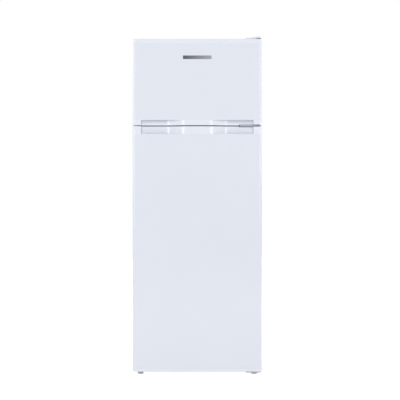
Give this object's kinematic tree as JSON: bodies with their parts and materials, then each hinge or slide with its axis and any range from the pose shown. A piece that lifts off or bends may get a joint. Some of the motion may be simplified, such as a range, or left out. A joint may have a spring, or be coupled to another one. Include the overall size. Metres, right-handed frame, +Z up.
{
  "type": "top freezer refrigerator",
  "caption": "Narrow white free-standing refrigerator with a freezer on top, right-hung doors with scooped finger grips between them.",
  "frame": {"origin": "on the floor, at the middle of the footprint's bounding box", "axes": "+Z up, +X to the right seen from the front, +Y to the back, so the doors face -Y"},
  "size_m": [0.545, 0.555, 1.43],
  "materials": {
    "white_steel": "gloss",
    "white_plastic": "satin",
    "liner_plastic": "satin",
    "zinc_steel": "satin",
    "bright_steel": "satin",
    "black_steel": "satin",
    "black_plastic": "matte",
    "copper": "satin",
    "aluminium": "satin",
    "foam": "matte",
    "gasket_rubber": "matte",
    "clear_plastic": "gloss",
    "glass": "gloss",
    "grey_plastic": "matte",
    "badge_metal": "satin"
  },
  "bodies": {
    "cabinet": {"side_panel_left": "white_steel", "side_panel_right": "white_steel", "top_panel": "white_steel", "back_panel": "zinc_steel", "base_panel": "zinc_steel", "bottom_rail": "white_steel", "mullion_trim": "white_steel", "insulation_foam": "foam", "freezer_liner": "liner_plastic", "fridge_liner": "liner_plastic", "evaporator_plate": "aluminium", "top_hinge_bracket": "bright_steel", "top_hinge_cover": "white_plastic", "middle_hinge_bracket": "bright_steel", "bottom_hinge_bracket": "bright_steel", "freezer_shelf": "white_steel", "fridge_shelf_1": "glass", "fridge_shelf_2": "glass", "fridge_shelf_3": "glass", "crisper_cover": "glass", "thermostat_housing": "white_plastic", "lamp_lens": "clear_plastic", "lamp_bulb": "glass", "compressor_base_plate": "zinc_steel", "compressor": "black_steel", "relay_cover": "black_plastic", "cord_gland": "black_plastic", "condenser_coil": "black_steel", "condenser_wires": "black_steel", "filter_dryer": "copper", "suction_line": "copper", "discharge_line": "copper", "evaporation_tray": "black_plastic"},
    "freezer_door": {"freezer_door_skin": "white_steel", "freezer_door_top_cap": "white_plastic", "freezer_door_bottom_cap": "white_plastic", "freezer_door_foam": "foam", "freezer_door_liner": "liner_plastic", "freezer_door_gasket": "gasket_rubber", "freezer_door_bush": "white_plastic", "freezer_door_bin_low": "clear_plastic", "freezer_door_bin_high": "clear_plastic", "badge": "badge_metal"},
    "fridge_door": {"fridge_door_skin": "white_steel", "fridge_door_top_cap": "white_plastic", "fridge_door_bottom_cap": "white_plastic", "fridge_door_foam": "foam", "fridge_door_liner": "liner_plastic", "fridge_door_gasket": "gasket_rubber", "fridge_door_bush": "white_plastic", "fridge_door_bin_low": "clear_plastic", "fridge_door_bin_middle": "clear_plastic", "fridge_door_bin_high": "clear_plastic"},
    "crisper_drawer": {"crisper_drawer": "clear_plastic"},
    "thermostat_knob": {"thermostat_knob": "white_plastic"},
    "door_switch_button": {"door_switch_button": "white_plastic"},
    "front_foot_left": {"front_foot_left": "grey_plastic"},
    "front_foot_right": {"front_foot_right": "grey_plastic"},
    "rear_roller_left": {"rear_roller_left": "grey_plastic"},
    "rear_roller_right": {"rear_roller_right": "grey_plastic"}
  },
  "joints": [
    {"name": "freezer_door_hinge", "type": "hinge", "parent": "cabinet", "child": "freezer_door", "pos_m": [0.25, -0.248, 1.235], "axis": [0, 0, 1], "range_deg": [0, 120]},
    {"name": "fridge_door_hinge", "type": "hinge", "parent": "cabinet", "child": "fridge_door", "pos_m": [0.25, -0.248, 0.535], "axis": [0, 0, 1], "range_deg": [0, 120]},
    {"name": "crisper_slide", "type": "slide", "parent": "cabinet", "child": "crisper_drawer", "axis": [0, -1, 0], "range_m": [0, 0.022]},
    {"name": "thermostat_knob_turn", "type": "hinge", "parent": "cabinet", "child": "thermostat_knob", "pos_m": [0.183, -0.118, 0.945], "axis": [-1, 0, 0], "range_deg": [0, 270]},
    {"name": "door_switch_slide", "type": "slide", "parent": "cabinet", "child": "door_switch_button", "axis": [0, -1, 0], "range_m": [0, 0.006]},
    {"name": "front_foot_left_height", "type": "slide", "parent": "cabinet", "child": "front_foot_left", "axis": [0, 0, -1], "range_m": [0, 0.012]},
    {"name": "front_foot_right_height", "type": "slide", "parent": "cabinet", "child": "front_foot_right", "axis": [0, 0, -1], "range_m": [0, 0.012]},
    {"name": "rear_roller_left_spin", "type": "hinge", "parent": "cabinet", "child": "rear_roller_left", "pos_m": [-0.2325, 0.212, 0.015], "axis": [1, 0, 0], "continuous": true},
    {"name": "rear_roller_right_spin", "type": "hinge", "parent": "cabinet", "child": "rear_roller_right", "pos_m": [0.2325, 0.212, 0.015], "axis": [1, 0, 0], "continuous": true}
  ],
  "couplings": [
    {"joint": "door_switch_slide", "follows": "fridge_door_hinge", "m_per_rad": 0.00286}
  ]
}
